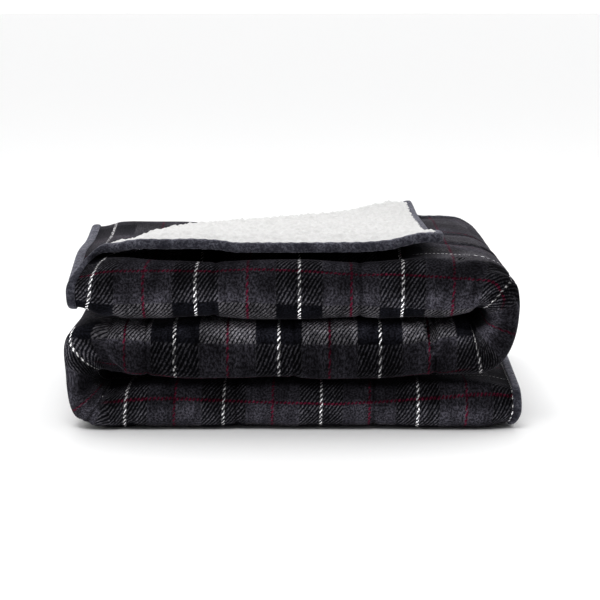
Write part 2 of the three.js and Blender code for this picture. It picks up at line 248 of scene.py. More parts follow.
# %% Sunk and risen places
SINK = {"depth": 10, "at_y": 105, "reach_y": 150, "fade_s": 120}
PRESSED = {"depth": 16, "at_y": -156, "reach_y": 54, "along_s": [25, 110, 330, 400]}
PUFF, PUFF_REACH, NOSE_ROOM = 12.0, 110.0, 35.0


def bump_in_y(y, at):
    return ease(1 - np.abs(y - at["at_y"]) / at["reach_y"])


def sink_at(s, y):
    return SINK["depth"] * bump_in_y(y, SINK) * ease((TOP_END - s) / SINK["fade_s"])


def pressed_at(s, y):
    along = ease(np.interp(s, PRESSED["along_s"], [0, 1, 1, 0]))
    return PRESSED["depth"] * along * bump_in_y(y, PRESSED)


def puff_at(s, t, y):
    share = 1 - ease((t - INNER_RUN) / BACK_BEND)
    from_fold = turn_place(s, CREST + y + DEPTH / 2 - NOSE_ROOM)[1]
    return np.where(t > INNER_RUN + BACK_BEND, 0, share * PUFF * ease(from_fold / PUFF_REACH))


print("valley", PRESSED["depth"], "mm deep, middle of the top", SINK["depth"], "mm lower")

# %% [markdown]
# ## Both folds together
# A flat point first goes into the section, and the section then travels along the strip's path. The uneven
# places come last; the sunk ones count for more the higher a point lies in the strip.

# %% Both folds together
def folded_point(s, t, n):
    thick = shape_at(s, THICK)
    y, c, ny, nc = section_at(t, thick, shape_at(s, SET_BACK))
    offset = c + n * nc
    x, z = strip_point(s, offset, thick)
    upper = (1 + offset * 2 / thick) / 2
    sunk = sink_at(s, y) * upper + pressed_at(s, y) * np.maximum(upper, 0) ** 3
    x = x + end_shift(s, y, c, thick / 3)
    return np.stack([x, y + n * ny, z - sunk + puff_at(s, t, y)], axis=-1)


print("the crest passes", folded_point(np.array(200.0), np.array(CREST), 0.0).round(1), "mm")

# %% [markdown]
# ## The foot of the corner's fold
# The turned corner bends about a straight line on top of the stack. `fold_foot` gives the place below the
# bend, and `past_fold` points level across the line. `inside_edge` is the distance to the nearest cut edge.

# %% The corner's fold line
def fold_foot(e):
    share = e / TURN_LENGTH
    return folded_point(share * TURN_ALONG, CREST + share * UPPER_RUN, np.zeros_like(e))


def inside_edge(s, t):
    return np.minimum(np.minimum(s, LENGTH - s), np.minimum(t, WIDTH - t))


fold_line = np.diff(fold_foot(np.array([0.0, TURN_LENGTH])), axis=0)[0]
past_fold = np.array([-fold_line[1], fold_line[0], 0]) / np.hypot(fold_line[0], fold_line[1])
print("level across the fold:", past_fold.round(3))

# %% [markdown]
# ## Sizes of the turned corner
# The cloth goes round a loose bend that widens towards the back, and then lies on the layer below. Its
# bound edge is stiff: the first table lifts it along the front, and the second one lowers the bend near its
# tip at the left. The front edge hangs a little over the nose.

# %% Sizes of the turned corner
TURN_TIGHT, TURN_LOOSE, TURN_NEUTRAL = 9.5, 11.0, 3.0
REST_WIDTH, RESTING = 90.0, 0.95
CORNER_LIFT, CORNER_REACH = 6.0, 90.0
CORNER_OUT, CORNER_TILT, TILT_AT, TILT_REACH = 5.0, 4.0, 25.0, 35.0
LIFT_REACH, TIP_REACH = 70.0, 28.0
OVERHANG, OVERHANG_LIFT, OVERHANG_REACH = 27.0, 4.2, 170.0
OVERHANG_FADE, LIFT_FADE = 40.0, 15.0
UPPER_THIRD = 5 / 6
EDGE_LIFT = np.array([
    # past the crest, lift
    [0, 0], [36, -3.5], [88, 3], [138, 4], [172, 2], [190, -1], [255, -1], [333, -0.5], [416, 1.5],
])
NEAR_TIP = np.array([
    # along the fold, how much lower the bend lies
    [12, 0], [55, 5.5], [90, 5.5], [135, 0],
])
print("corner hangs", OVERHANG, "mm over the nose")

# %% [markdown]
# ## The corner that is turned over
# `turn` is how far round the bend a point has gone, and `beyond` is how far past it. There the cloth sinks
# to rest along its bound edges and follows the sunk layer below, which lies `UPPER_THIRD` of the way up.

# %% Turn the corner over
def corner_moves(s, t, beyond):
    """How far the turned corner moves out, forward and up from a plain bend."""
    from_corner = np.hypot(s, WIDTH - t)
    forward = ease(1 - s / OVERHANG_REACH) * ease(beyond / OVERHANG_FADE)
    wave = np.interp(t - CREST, EDGE_LIFT[:, 0], EDGE_LIFT[:, 1])
    up = CORNER_LIFT * ease(1 - from_corner / CORNER_REACH)
    up = up + wave * ease(1 - s / LIFT_REACH) * ease(beyond / LIFT_FADE) + OVERHANG_LIFT * forward
    up = up + CORNER_TILT * ease(1 - np.abs(from_corner - TILT_AT) / TILT_REACH)
    return CORNER_OUT * ease(1 - from_corner / CORNER_REACH), OVERHANG * forward, up


def turned_point(s, t, n):
    e, d = turn_place(s, t)
    radius = mix(TURN_TIGHT, TURN_LOOSE, np.clip(e / TURN_LENGTH, 0, 1))
    neutral = radius - TURN_NEUTRAL
    foot = fold_foot(e)
    turn = np.clip(d / neutral, 0, np.pi)
    beyond = np.maximum(0, d - np.pi * neutral)
    away = (radius - n) * np.sin(turn) - beyond
    room = 2 * radius - BIND_HALF - (shape_at(s, THICK) - LAYER_GAP) / 6 - LAYER_GAP
    resting = ease(1 - inside_edge(s, t) / REST_WIDTH) * ease(beyond / REST_WIDTH)
    rise = radius - (radius - n) * np.cos(turn) - RESTING * room * resting
    point = foot + away[..., None] * past_fold
    end_x = BEND_X[0]
    below = sink_at(foot[..., 0] - end_x, foot[..., 1]) - sink_at(point[..., 0] - end_x, point[..., 1])
    lower = np.interp(e, NEAR_TIP[:, 0], NEAR_TIP[:, 1])
    lower = lower * (1 - np.cos(turn)) / 2 * (1 - ease(beyond / TIP_REACH))
    out, forward, up = corner_moves(s, t, beyond)
    return point + np.stack([out, -forward, rise + below * UPPER_THIRD + up - lower], axis=-1)


print(f"bend {2 * TURN_TIGHT:.0f} to {2 * TURN_LOOSE:.0f} mm high")

# %% [markdown]
# ## Place of any point
# The four cut corners are rounded, to get the binding round them. At the left tip of the turned corner a
# sharp map would leave a spike, so a point there takes the average of several places beside it. Every mesh
# below uses `place`.

# %% Place of any point
CORNER_ROUND = 15.0
TIP = {"t": 6.0, "reach": 75.0, "spread": 24.0}
TIP_STEPS = np.arange(-4, 5) / 2.0
TIP_WEIGHTS = np.exp(-TIP_STEPS ** 2 / 2)
STACK_MIDDLE = np.array([7.85, 4.0, 0.0])


def rounded(s, t):
    """The flat place with the four corners rounded off."""
    from_s = CORNER_ROUND - np.minimum(s, LENGTH - s)
    from_t = CORNER_ROUND - np.minimum(t, WIDTH - t)
    near = (from_s > 0) & (from_t > 0)
    longer = np.maximum(from_s, from_t)
    pull = np.where(near, 1 - longer / np.maximum(np.hypot(from_s, from_t), 1e-6), 0)
    to_s, to_t = np.where(s < LENGTH / 2, 1, -1), np.where(t < WIDTH / 2, 1, -1)
    return s + to_s * pull * from_s, t + to_t * pull * from_t


def unsmoothed_place(s, t, n):
    turned = (s < TURN_ALONG) & (t > CREST) & (turn_place(s, t)[1] > 0)
    return np.where(turned[..., None], turned_point(s, t, n), folded_point(s, t, n)) - STACK_MIDDLE


def place(s, t, n):
    s, t, n = np.broadcast_arrays(np.asarray(s, float), t, n)
    s, t = rounded(s, t)
    spread = TIP["spread"] * ease(1 - np.hypot(s, t - CREST - TIP["t"]) / TIP["reach"])
    steps = zip(TIP_STEPS, TIP_WEIGHTS / TIP_WEIGHTS.sum())
    return sum(weight * unsmoothed_place(s, t + spread * step, n) for step, weight in steps)


print("front of the top layer at y =", round(float(place(200, (NOSE_START + CREST) / 2, 10.0)[1]), 1), "mm")

# %% [markdown] ## Where the weave has shifted The plush is outside on the round nose and the two bends,
# so its face takes a longer way round them than the middle of the cloth, and the cloth has also been
# pulled about. The first table says how much longer the face is up to each place, and how the lengthwise
# threads (the warp) lean and the crosswise threads (the weft) sway there.

# %% Tables of the weave's shifts
WOVEN = np.array([
    # at, longer along the strip, warp's lean, weft's sway, sway below the nose
    [0, 0, 0, 7, -3],
    [70, 0, 0, 6, -4],
    [120, 0, 0, 7, -4],
    [200, 0, 0, 8, -4],
    [330, 0, 0, 0, -8],
    [TOP_END, 0, 3, 2, -8],
    [468, 11, 4, 8, 0],
    [495, 22, 3, 10, 0],
    [525, 32, 1, 10, 0],
    [RIGHT_END, 40.5, 0, 14, 0],
    [580, 41, 0, 22, 0],
    [640, 42, 0, 27, 0],
    [740, 41, 0, 27, 0],
    [860, 38, 0, 26, 0],
    [896, 33.5, 0, 22, 0],
    [949, 36, 0, 20, 0],
    [975, 46, 0, 6, 0],
    [1030, 57, 0, 6, 0],
    [LEFT_END, 59, 4, 10, 0],
    [1075, 59.2, 4.5, 12, 0],
    [1103, 59.5, 4, 11, 0],
    [1230, 61, 1.8, 3, 0],
    [1310, 62, 1.5, -2, 0],
    [1401, 64, 0.8, 8, 0],
    [1445, 64.8, 0, 12, 0],
    [1500, 66, 0, 18, 0],
    [LENGTH, 68.8, 0, 20, 0],
])
LONGER, WARP_LEAN, SWAY, SWAY_BELOW = 1, 2, 3, 4
PULLS = [
    # middle s, t past the crest    half width along s, t    pull along the strip
    (26, -18, 26, 22, 2.0),
    (26, -58, 26, 14, 7.0),
    (976, -74, 24, 16, 15.0),
]
print("the face is", WOVEN[-1, LONGER], "mm longer than the middle of the cloth")

# %% [markdown]
# ## Where a point lies in the weave
# These functions turn flat numbers into a place in the weave, which the check and the quilting both follow.
# `UNDER_CORNER` holds the crosswise white line back until it comes out from under the turned corner.

# %% Place in the weave
LEAN_REACH, NOSE_FADE, SWAY_FADE, PLAIN_ARC = 55.0, 140.0, 55.0, np.pi * 30
UNDER_CORNER = {"sway": 26.0, "up_to_s": 465.0, "fade": 60.0}
BELOW_NOSE, BELOW_FADE = 25.0, 25.0


def woven(s, column):
    return np.interp(s, WOVEN[:, 0], WOVEN[:, column])


def soft_spot(s, t, s0, t0, half_s, half_t):
    """1 at a place that is given past the crest, falling softly to 0 around it."""
    return np.exp(-(((s - s0) / half_s) ** 2) - ((t - CREST - t0) / half_t) ** 2)


def woven_s(s, t=CREST):
    pulled = sum(pull * soft_spot(s, t, *spot) for *spot, pull in PULLS)
    lean = woven(s, WARP_LEAN) * np.clip((t - CREST) / LEAN_REACH, -1, 1)
    return s + woven(s, LONGER) - lean + pulled


def weft_sway(s, t):
    past = t - CREST
    under = UNDER_CORNER["sway"] * ease((UNDER_CORNER["up_to_s"] - s) / UNDER_CORNER["fade"])
    on_top = mix(woven(s, SWAY), under, ease(past / UNDER_CORNER["fade"]))
    on_nose = woven(s, SWAY) * ease(1 + past / SWAY_FADE)
    below = woven(s, SWAY_BELOW) * ease((-BELOW_NOSE - past) / BELOW_FADE)
    return np.where(past > 0, on_top, on_nose) + below


def woven_t(s, t):
    thick = shape_at(s, THICK)
    nose_arc, back_arc = np.pi * (thick - LAYER_GAP) / 2, np.pi * thick / 3
    past_nose = np.clip((t - NOSE_START) / NOSE_BEND, 0, 1)
    near_nose = ease(1 - (NOSE_START - t) / NOSE_FADE)
    longer = mix(PLAIN_ARC, nose_arc, near_nose) - NOSE_BEND
    shorter = (back_arc - BACK_BEND) * (1 - np.clip((t - INNER_RUN) / BACK_BEND, 0, 1))
    return t - longer * (1 - past_nose) - shorter - weft_sway(s, t)


print("woven length of the face:", woven_s(LENGTH).round(1), "mm")

# %% [markdown]
# ## Thickness of the cloth
# The cloth is thin in the binding and swells to its full thickness beside it. Soft valleys follow the
# quilting lines, but not on the face that lies on the floor. At the corner's fold the cloth is thinner,
# because thick cloth can't go round so small a bend.

# %% Half the thickness of the cloth
SWELL, VALLEY_NARROW, VALLEY_FROM, VALLEY_OVER = 26.0, 3, 4.0, 6.0
QUILT_S, QUILT_T, QUILT_DEPTH, QUILT_ROW_AT = 152.4, 158.75, 2.4, 57.0
TURN_HALF, TURN_THINNING = 7.5, 60.0


def from_quilt_row(t):
    """The distance to the nearest quilting line that runs along the strip."""
    row = t - CREST - QUILT_ROW_AT
    return np.abs(row - np.round(row / QUILT_T) * QUILT_T)


def half_thickness(s, t, face):
    slot = BIND_HALF - BIND_CLOTH
    d = turn_place(s, t)[1]
    on_top = (s < TURN_ALONG + TURN_THINNING) & (t > CREST)
    near_turn = np.where(on_top, ease(1 + d / TURN_THINNING), 0)
    full = mix(shape_at(s, THICK) / 6 - LAYER_GAP / 2, TURN_HALF, near_turn)
    lies_flat = (s > LEFT_END - 1) & (t > INNER_RUN) & (t < NOSE_START + 1) & (face > 0)
    from_s = np.abs(s - np.round(s / QUILT_S) * QUILT_S) / QUILT_S
    from_t = np.where(t > CREST, from_quilt_row(t) / QUILT_T, 1)
    deep = QUILT_DEPTH * (1 - ease(np.minimum(from_s, from_t) * VALLEY_NARROW))
    valley = np.where(lies_flat, 0, deep) * ease((full - VALLEY_FROM) / VALLEY_OVER)
    swell = ease((inside_edge(s, t) - BIND_WIDTH) / SWELL)
    return np.minimum(full, mix(slot, full - valley, swell))


print("half thickness on top:", half_thickness(240.0, 1000.0, 1).round(1), "mm")

# %% [markdown] ## From flat numbers to a mesh The cloth could be a modifier on a plane, but a mesh from
# arrays gives full control of each point.

# %% Build a mesh from arrays
def lines(*spans):
    """Grid lines from spans of (from, to, step), each at most its step apart."""
    parts = [np.linspace(a, b, max(2, int(np.ceil((b - a) / step)) + 1)) for a, b, step in spans]
    return np.unique(np.round(np.concatenate(parts), 4))


def grid_faces(rows, columns, closed=False):
    index = np.arange(rows * columns).reshape(rows, columns)
    if closed:
        index = np.concatenate([index, index[:1]])
    corners = [index[:-1, :-1], index[1:, :-1], index[1:, 1:], index[:-1, 1:]]
    return np.stack(corners, axis=-1).reshape(-1, 4)


def mesh_object(name, points, faces, flat):
    mesh = bpy.data.meshes.new(name)
    mesh.from_pydata([], [], [])
    mesh.vertices.add(len(points))
    mesh.vertices.foreach_set("co", (points * MM).astype(np.float32).ravel())
    mesh.loops.add(faces.size)
    mesh.loops.foreach_set("vertex_index", faces.ravel().astype(np.int32))
    mesh.polygons.add(len(faces))
    mesh.polygons.foreach_set("loop_start", np.arange(0, faces.size, 4, dtype=np.int32))
    uv = mesh.uv_layers.new(name="flat_cloth")
    uv.data.foreach_set("uv", (flat[faces.ravel()] * MM).astype(np.float32).ravel())
    mesh.update(calc_edges=True)
    mesh.validate()
    mesh.polygons.foreach_set("use_smooth", np.ones(len(mesh.polygons), bool))
    made = bpy.data.objects.new(name, mesh)
    bpy.context.scene.collection.objects.link(made)
    print(f"{name}: {len(faces) * 2} triangles")
    return made


# %% [markdown]
# ## A panel
# A panel is a grid over the flat cut. Its points lie half the cloth's thickness out from the middle, on
# its own side, plus the relief of its surface.

# %% Build a panel from grid lines
def panel(name, s_lines, t_lines, face, relief):
    s, t = np.meshgrid(s_lines, t_lines, indexing="ij")
    n = face * (half_thickness(s, t, face) + relief(s, t))
    faces = grid_faces(*s.shape)
    if face < 0:
        faces = faces[:, ::-1]
    flat = np.stack([woven_s(s, t).ravel(), woven_t(s, t).ravel()], axis=-1)
    return mesh_object(name, place(s, t, n).reshape(-1, 3), faces, flat)


PANEL_EDGE = 4.0
print("a panel starts", PANEL_EDGE, "mm inside the edge")

# %% [markdown]
# ## Creases and hollows
# A folded blanket shows a few creases at its bends, listed in these two tables. A crease is a
# straight trough that fades out at both ends, and a hollow is a round dip; a depth below zero makes a ridge
# or a bulge. Sculpting would do the same, but could not be repeated.

# %% Tables of creases and hollows
CREASES = [
    # from s, t    to s, t   half width, depth
    (440, -24, 426, -46, 6.0, 4.5),
    (420, -30, 412, -48, 4.0, 2.5),
    (599, -74, 596, -54, 4.5, 11.0),
    (596, -54, 594, -38, 4.5, 7.0),
    (594, -38, 591, -20, 3.5, 3.5),
    (968, -48, 944, -10, 6.0, 6.0),
    (607, -64, 605, -50, 6.0, -5.0),
    (584, -62, 582, -48, 6.0, -2.5),
    (462, 6, 440, -14, 6.0, 5.0),
    (478, -8, 455, -36, 5.5, 5.0),
    (424, 8, 418, -22, 6.0, 3.0),
    (392, 128, 470, 118, 7.0, 3.0),
    (30, -44, 52, -66, 6.0, 1.6),
    (1070, -40, 1092, -70, 5.0, 2.2),
    (985, -20, 1010, -58, 5.0, 2.4),
    (1020, -30, 1046, -74, 5.0, 2.4),
]
HOLLOWS = [
    # middle s, t    half width along s, t    depth
    (960, -8, 20, 18, 9.0),
    (1052, -6, 22, 17, 10.0),
    (1006, -12, 28, 20, 6.0),
    (964, -27, 12, 20, 6.0),
    (548, -66, 20, 11, 6.0),
    (449, -62, 11, 12, 6.0),
    (404, -74, 24, 13, -5.0),
    (620, -56, 11, 12, -2.5),
]
print(len(CREASES), "creases and", len(HOLLOWS), "hollows")

# %% [markdown]
# ## The plush panel's relief
# Loose filling never lies even, so the surface is a sum of soft waves. The quilting seams press narrow
# lines into it, and the creases are added to both.

# %% Relief of the plush
SEAM_PITCH, SEAM_HALF, SEAM_DEPTH = 157.8, 3.2, 2.2
WAVE_HEIGHT, ROW_DEPTH, ROW_WIDER, FAR, RELIEF_FADE = 0.5, 1.6, 1.5, 99, 40


def crease_relief(s, t):
    total = np.zeros_like(s)
    for *spot, depth in HOLLOWS:
        total -= depth * soft_spot(s, t, *spot)
    for s0, t0, s1, t1, half, depth in CREASES:
        ds, dt = s1 - s0, t1 - t0
        from_s, from_t = s - s0, t - CREST - t0
        along = np.clip((from_s * ds + from_t * dt) / (ds * ds + dt * dt), 0, 1)
        total -= depth * np.exp(-((np.hypot(from_s - ds * along, from_t - dt * along) / half) ** 2))
    return total


def seam_relief(s, t):
    along = woven_s(s)
    from_seam = np.abs(along - np.round(along / SEAM_PITCH) * SEAM_PITCH)
    from_row = from_quilt_row(t) + FAR * (t - CREST - QUILT_ROW_AT < QUILT_T / 2)
    rows = ROW_DEPTH * np.exp(-((from_row / SEAM_HALF / ROW_WIDER) ** 2))
    return -SEAM_DEPTH * (np.exp(-((from_seam / SEAM_HALF) ** 2)) + rows)


def plush_relief(s, t):
    waves = np.sin(s / 37 + 1.3 * np.sin(t / 61)) + np.sin(t / 29 + s / 83) + np.sin((s + t) / 19) * 0.5
    relief = WAVE_HEIGHT * waves + seam_relief(s, t) + crease_relief(s, t)
    return relief * ease((inside_edge(s, t) - BIND_WIDTH) / RELIEF_FADE)


print("a seam every", SEAM_PITCH, "mm along the face")

# %% [markdown]
# ## The plush panel
# The plush is a thin sheet over its solid. The grid lines lie close together where the cloth shows and
# bends, and wide apart where it is hidden in the stack.

# %% Plush panel
plush_cloth = panel(
    "plush_cloth",
    lines(
        (PANEL_EDGE, TOP_END, 3), (TOP_END, RIGHT_END, 2.5), (RIGHT_END, MIDDLE_END, 3),
        (MIDDLE_END, LEFT_END, 2.5), (LEFT_END, LENGTH - PANEL_EDGE, 3),
    ),
    lines(
        (PANEL_EDGE, INNER_RUN, 14), (INNER_RUN, INNER_RUN + BACK_BEND, 3),
        (INNER_RUN + BACK_BEND, NOSE_START, 14), (NOSE_START, CREST, 1.8),
        (CREST, CREST + 150, 5), (CREST + 150, WIDTH - PANEL_EDGE, 8),
    ),
    1,
    plush_relief,
)

# %% [markdown]
# ## Curls for the fleece
# Fleece of this kind is a mat of small curls in larger tufts. Hair would be far too heavy, so the pile is
# made in the mesh: every point is raised by its distance to the nearest curl's middle. The curls stand at
# full height in the turned corner and are crushed between the layers.

# %% Curls
TUFTS, CURLS = (8.0, 1, 1.3, 4.0), (4.2, 2, 1.2, 1.8)  # cell, seed, steepness, height
PILE_BASE, CRUSHED, SPOTS = 0.8, 0.3, 512
SHOWS_PAST, PILE_EDGE = 20, 5


def lumps(s, t, cell, seed, steep, height):
    """Rounded lumps round the nearest of many scattered points."""
    scatter = np.random.default_rng(seed).random((SPOTS, SPOTS, 2))
    gs, gt = s / cell, t / cell
    best = np.full(s.shape, 9.0)
    for ds in (-1, 0, 1):
        for dt in (-1, 0, 1):
            i, j = np.floor(gs).astype(int) + ds, np.floor(gt).astype(int) + dt
            spot = scatter[i % SPOTS, j % SPOTS]
            best = np.minimum(best, np.hypot(i + spot[..., 0] - gs, j + spot[..., 1] - gt))
    return height * np.maximum(0, 1 - steep * best)


def fleece_relief(s, t):
    height = lumps(s, t, *TUFTS) + lumps(s, t, *CURLS) - PILE_BASE
    shows = ease((turn_place(s, t)[1] + 30) / SHOWS_PAST)
    shows = shows * (s < TURN_ALONG + SHOWS_PAST) * (t > CREST - SHOWS_PAST)
    return height * mix(CRUSHED, 1.0, shows) * ease((inside_edge(s, t) - PILE_EDGE) / PILE_EDGE)


print("tufts", TUFTS[0], "mm apart, curls", CURLS[0], "mm")

# %% [markdown]
# ## The fleece panel
# The fleece lies on the other side of the same cloth. Its grid is fine in the turned corner, where it shows,
# a little coarser at the open ends of the layers, and wide between them.

# %% Fleece panel
fleece_cloth = panel(
    "fleece_cloth",
    lines(
        (PANEL_EDGE, TURN_ALONG + 10, 2.3),
        (TURN_ALONG + 10, LENGTH - 30, 20),
        (LENGTH - 30, LENGTH - PANEL_EDGE, 3),
    ),
    lines((PANEL_EDGE, CREST - 20, 4.5), (CREST - 20, WIDTH - PANEL_EDGE, 2.3)),
    -1,
    fleece_relief,
)

# %% [markdown]
# ## The binding's section
# The strip that binds the edge is folded round both panels: in section, a flattened loop with a slot for
# the cloth. The table goes once round that loop, and the walk goes once round the blanket.

# %% Section and walk of the binding
BIND_SECTION = [
    # inward from the edge, through the thickness
    (10.0, 3.7), (9.6, 4.8), (7.5, 5.3), (5.0, 5.4), (2.8, 5.0), (1.2, 4.0), (0.3, 2.4),
    (0.0, 0.0),
    (0.3, -2.4), (1.2, -4.0), (2.8, -5.0), (5.0, -5.4), (7.5, -5.3), (9.6, -4.8), (10.0, -3.7),
    (9.6, -3.3), (3.0, -3.2), (3.0, 3.2), (9.6, 3.3), (10.0, 3.7),
]
BIND_STEP, MITRE_ROOM = 4.0, 2.0


def edge_walk():
    """Stations all round the edge: the side, the place along it and the length of that side."""
    start = BIND_WIDTH + MITRE_ROOM
    for side, size in enumerate((LENGTH, WIDTH, LENGTH, WIDTH)):
        for v in [0.0, *lines((start, size - start, BIND_STEP))]:
            yield side, v, size


def edge_point(side, v, size, u):
    v = np.clip(v, u, size - u)
    return [(v, u), (LENGTH - u, v), (LENGTH - v, WIDTH - u), (u, WIDTH - v)][side]


print(len(list(edge_walk())), "stations round the edge")

# %% [markdown]
# ## The binding
# The section is carried round the walk, with a mitre at each corner. A bevelled curve would twist at the
# folds, so the strip is built from the same flat numbers as the panels. The sewing puckers it a little.

# %% Binding strip
PUCKER, PUCKER_PITCH, PUCKER_DRIFT, SLOT_HALF = 0.35, 2.1, 31.0, 3.4


def binding(name):
    stations = list(edge_walk())
    u, n = np.array(BIND_SECTION).T
    flat = np.array([[edge_point(side, v, size, w) for w in u] for side, v, size in stations])
    around = np.arange(len(stations))[:, None] * BIND_STEP
    pucker = PUCKER * np.sin(around / PUCKER_PITCH + 2 * np.sin(around / PUCKER_DRIFT))
    pucker = pucker * (np.abs(n) > SLOT_HALF) * ease((u - 2) / 4)
    points = place(flat[..., 0], flat[..., 1], n + np.sign(n) * pucker)
    through = np.cumsum(np.abs(np.diff(n, prepend=n[0])))
    walk = np.stack(np.broadcast_arrays(around, through), axis=-1)
    faces = grid_faces(*flat.shape[:2], closed=True)
    return mesh_object(name, points.reshape(-1, 3), faces, walk.reshape(-1, 2))


binding_strip = binding("binding_strip")

# %% [markdown]
# ## Node helpers
# A material is a graph of nodes. This class adds a node, sets or links its inputs by name and gives back
# an output, so that a formula reads as one line.

# %% Graph of nodes
class Graph:
    def __init__(self, tree):
        self.tree = tree

    def connect(self, made, inputs):
        for key, value in inputs.items():
            if isinstance(value, bpy.types.NodeSocket):
                self.tree.links.new(value, made.inputs[key])
            else:
                made.inputs[key].default_value = value

    def node(self, kind, inputs=None, out=0, **settings):
        made = self.tree.nodes.new("ShaderNode" + kind)
        for key, value in settings.items():
            setattr(made, key, value)
        self.connect(made, inputs or {})
        return made.outputs[out]

    def group(self, tree, inputs):
        return self.node("Group", inputs, node_tree=tree)

    def math(self, operation, *values):
        return self.node("Math", dict(enumerate(values)), operation=operation)

    def times(self, a, b):
        return self.math("MULTIPLY", a, b)

    def scaled(self, value, gain, base):
        return self.math("ADD", self.times(value, gain), base)

    def smooth(self, value, low, high):
        inputs = {"Value": value, "From Min": low, "From Max": high}
        return self.node("MapRange", inputs, interpolation_type="SMOOTHSTEP")

    def blend(self, factor, a, b, mode="MIX"):
        return self.node("Mix", {0: factor, 6: a, 7: b}, out=2, data_type="RGBA", blend_type=mode)


print("helpers:", *[name for name in vars(Graph) if name[0] != "_"])

# %% [markdown]
# ## New groups and new materials
# An effect that several finishes share is a node group with named inputs and outputs. A material starts
# from Blender's standard shader.

# %% Start a group or a material
def new_group(name, *sockets):
    tree = bpy.data.node_groups.new(name, "ShaderNodeTree")
    for way, kind, names in sockets:
        for socket in names.split():
            tree.interface.new_socket(socket, in_out=way, socket_type="NodeSocket" + kind)
    start = tree.nodes.new("NodeGroupInput")
    end = tree.nodes.new("NodeGroupOutput")
    print("group:", name)
    return Graph(tree), start.outputs, end


def new_material(name):
    material = bpy.data.materials.new(name)
    material.use_nodes = True
    print("material:", name)
    return material, Graph(material.node_tree), material.node_tree.nodes["Principled BSDF"]


# %% [markdown]
# ## Stripe group
# Every stripe of the check repeats at one period. This group measures how far a place is from the nearest
# stripe's middle and gives 1 inside the stripe and 0 outside, with a soft edge.

# %% Stripe group
def make_stripe_group():
    inputs = ("INPUT", "Float", "Place Period Middle Width Soft")
    g, given, end = new_group("repeating stripe", inputs, ("OUTPUT", "Float", "Mask"))
    moved = g.math("SUBTRACT", given["Place"], given["Middle"])
    half = g.times(given["Period"], 0.5)
    away = g.math("ABSOLUTE", g.math("WRAP", moved, half, g.times(half, -1.0)))
    edge = g.times(given["Width"], 0.5)
    outside, inside = g.math("ADD", edge, given["Soft"]), g.math("SUBTRACT", edge, given["Soft"])
    g.connect(end, {"Mask": g.smooth(away, outside, inside)})
    return g.tree


stripe_group = make_stripe_group()

# %% [markdown]
# ## Twill group
# In a twill, the threads of one direction show over the other in diagonal ribs. Where a grey stripe crosses
# a black one, those ribs show as fine slanted hatching. The group gives 1 in the middle of a lengthwise rib
# and 0 half-way between two of them.

# %% Twill group
RIB_ALONG, RIB_ACROSS = 0.0045, 0.0062


def make_twill_group():
    inputs = ("INPUT", "Float", "Along Across")
    g, given, end = new_group("twill ribs", inputs, ("OUTPUT", "Float", "Rib"))
    along = g.math("DIVIDE", given["Along"], RIB_ALONG)
    across = g.math("DIVIDE", given["Across"], RIB_ACROSS)
    wave = g.math("PINGPONG", g.math("SUBTRACT", along, across), 0.5)
    g.connect(end, {"Rib": g.times(wave, 2.0)})
    return g.tree


twill_group = make_twill_group()

# %% [markdown]
# ## Pile group
# Plush and fleece are both made of standing fibres that lean in patches. The group gives a patchy value
# for the light and dark of leaning pile, and a fine height for its tips; `pile` adds it to a material.

# %% Pile group
def make_pile_group():
    inputs = ("INPUT", "Vector", "Vector"), ("INPUT", "Float", "Patch Fibre")
    g, given, end = new_group("standing pile", *inputs, ("OUTPUT", "Float", "Lean Height"))

    def noise(scale, detail, roughness):
        inputs = {"Vector": given["Vector"], "Scale": scale, "Detail": detail, "Roughness": roughness}
        return g.node("TexNoise", inputs)

    patches = noise(given["Patch"], 4.0, 0.65)
    g.connect(end, {"Lean": g.smooth(patches, 0.3, 0.7), "Height": noise(given["Fibre"], 3.0, 0.7)})
    return g.tree


pile_group = make_pile_group()


def pile(g, at, patch, fibre):
    patches = g.group(pile_group, {"Vector": at, "Patch": patch, "Fibre": fibre})
    return patches, patches.node.outputs["Height"]


# Only one crosswise white line shows, so it comes in every fourth black stripe. The middle layer has
# lighter colours painted on as light, and a painted highlight near its top.

# %% Numbers of the check
PERIOD_S, PERIOD_T, WHITE_EVERY = 0.111, 0.127, 4
WHITE_AT_S, WHITE_AT_T = 0.028, (CREST + 28.5) * MM
RED_AT_S, RED_AT_T = WHITE_AT_S + PERIOD_S / 2, WHITE_AT_T + PERIOD_T / 2
GREY_WIDTH, GREY_SOFT = 0.061, 0.0008
LINE_WHITE, WHITE_SOFT, LINE_RED, RED_SOFT = 0.003, 0.0004, 0.0027, 0.0005
GREY, BLACK = (0.0245, 0.0234, 0.0292, 1), (0.0032, 0.0033, 0.0046, 1)
# painted highlight: the black is lighter near the top of the middle layer
BLACK_MIDDLE_HIGHLIGHT = (0.0125, 0.0127, 0.0172, 1)
RIB_WARP, RIB_WEFT = (0.052, 0.05, 0.055, 1), (0.04, 0.0385, 0.0445, 1)
# painted light: the middle layer's ribs are lighter, and lighter still near its top
RIB_MIDDLE_LIT, RIB_MIDDLE_HIGHLIGHT = (0.082, 0.079, 0.087, 1), (0.235, 0.228, 0.247, 1)
WHITE, RED = (0.85, 0.84, 0.85, 1), (0.066, 0.005, 0.016, 1)
print("one check, m:", PERIOD_S, PERIOD_T)

# %% [markdown]
# ## Broad stripes
# The twill ribs decide at each point whether the lengthwise or the crosswise stripe shows. Where grey
# crosses grey or black crosses black, the two can't be told apart and the block is plain. The ramps say
# where the middle layer starts and stops, where it gets painted light, and where a painted highlight lies
# near its top.

# %% Broad stripes of the check
MIDDLE_STARTS, MIDDLE_STOPS = (0.55, 0.6), (1.0, 0.96)
# ramps of the painted highlight near the middle layer's top
RIB_HIGHLIGHT_RAMP = ((CREST - 72) * MM, (CREST - 92) * MM)
BLACK_HIGHLIGHT_RAMP = ((CREST - 64) * MM, (CREST - 90) * MM)


def stripe(g, at, period, middle, width, soft):
    inputs = {"Place": at, "Period": period, "Middle": middle, "Width": width, "Soft": soft}
    return g.group(stripe_group, inputs)


